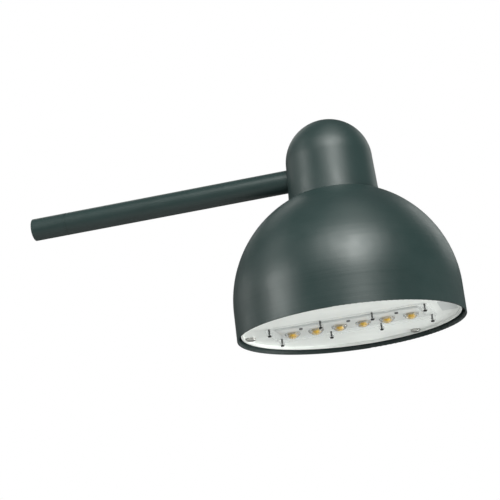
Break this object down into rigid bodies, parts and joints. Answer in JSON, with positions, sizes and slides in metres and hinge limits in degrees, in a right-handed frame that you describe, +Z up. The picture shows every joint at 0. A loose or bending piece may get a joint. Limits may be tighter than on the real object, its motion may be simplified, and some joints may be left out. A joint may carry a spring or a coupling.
{
  "type": "picture light",
  "caption": "Dome-shaped picture light on a straight round arm, with a light engine of small lenses behind its rim; the head turns about the arm.",
  "frame": {"origin": "centre of the arm's wall end", "axes": "+X out along the arm to the head, +Z up, dome opening towards -Z"},
  "size_m": [0.4645, 0.242, 0.2326],
  "materials": {
    "dark_paint": "satin fine-texture powder coat",
    "white_paint": "satin white powder coat",
    "cast_inner": "as machined",
    "sink_aluminium": "extruded, satin",
    "plated_steel": "zinc plated",
    "dark_steel": "blackened",
    "sheet_steel": "galvanised sheet",
    "black_rubber": "matte",
    "silicone": "translucent, matte",
    "black_plastic": "fine grain",
    "white_plastic": "moulded",
    "clear_plastic": "clear, polished",
    "board_mask": "white solder mask",
    "phosphor": "yellow phosphor under silicone",
    "brass_screws": "plated",
    "wire_cover": "insulation",
    "label_film": "blank film"
  },
  "bodies": {
    "arm": {"arm_tube": "dark_paint", "wall_end_bush": "black_plastic", "inner_bush": "black_plastic", "stop_collar": "plated_steel", "collar_screw": "dark_steel"},
    "head": {"shade": "dark_paint", "neck_cap": "dark_paint", "neck_seal": "black_rubber", "neck_screws": "plated_steel", "entry_seal": "black_rubber", "clamp_cap": "cast_inner", "clamp_bolts": "plated_steel", "clamp_washers": "plated_steel", "stop_pin": "dark_steel", "thrust_washer": "white_plastic", "mounting_plate": "sheet_steel", "earth_screw": "brass_screws", "terminal_block": "white_plastic", "terminal_screws": "brass_screws", "socket_bracket": "sheet_steel", "supply_socket": "black_plastic", "supply_leads": "wire_cover", "support_ring": "dark_paint", "weld_nuts": "plated_steel"},
    "tray": {"gear_tray": "white_paint", "tray_gasket": "black_rubber", "tray_screws": "plated_steel", "screw_retainers": "plated_steel", "hanger_rods": "plated_steel", "led_board": "board_mask", "led_chips": "phosphor", "lens_plate": "clear_plastic", "lens_seal": "silicone", "lens_screws": "dark_steel", "board_screws": "dark_steel", "heat_sink": "sink_aluminium", "lead_grommet": "white_plastic", "driver_bracket": "sheet_steel", "bracket_screws": "plated_steel", "driver": "white_plastic", "driver_screws": "plated_steel", "supply_plug": "black_plastic", "plug_leads": "wire_cover", "led_leads": "wire_cover", "rating_label": "label_film"}
  },
  "joints": [
    {"name": "head_turn", "type": "hinge", "parent": "arm", "child": "head", "pos_m": [0.3215, 0, 0], "axis": [1, 0, 0], "range_deg": [-40, 40]},
    {"name": "tray_drop", "type": "slide", "parent": "head", "child": "tray", "axis": [0, 0, -1], "range_m": [0, 0.04]}
  ]
}
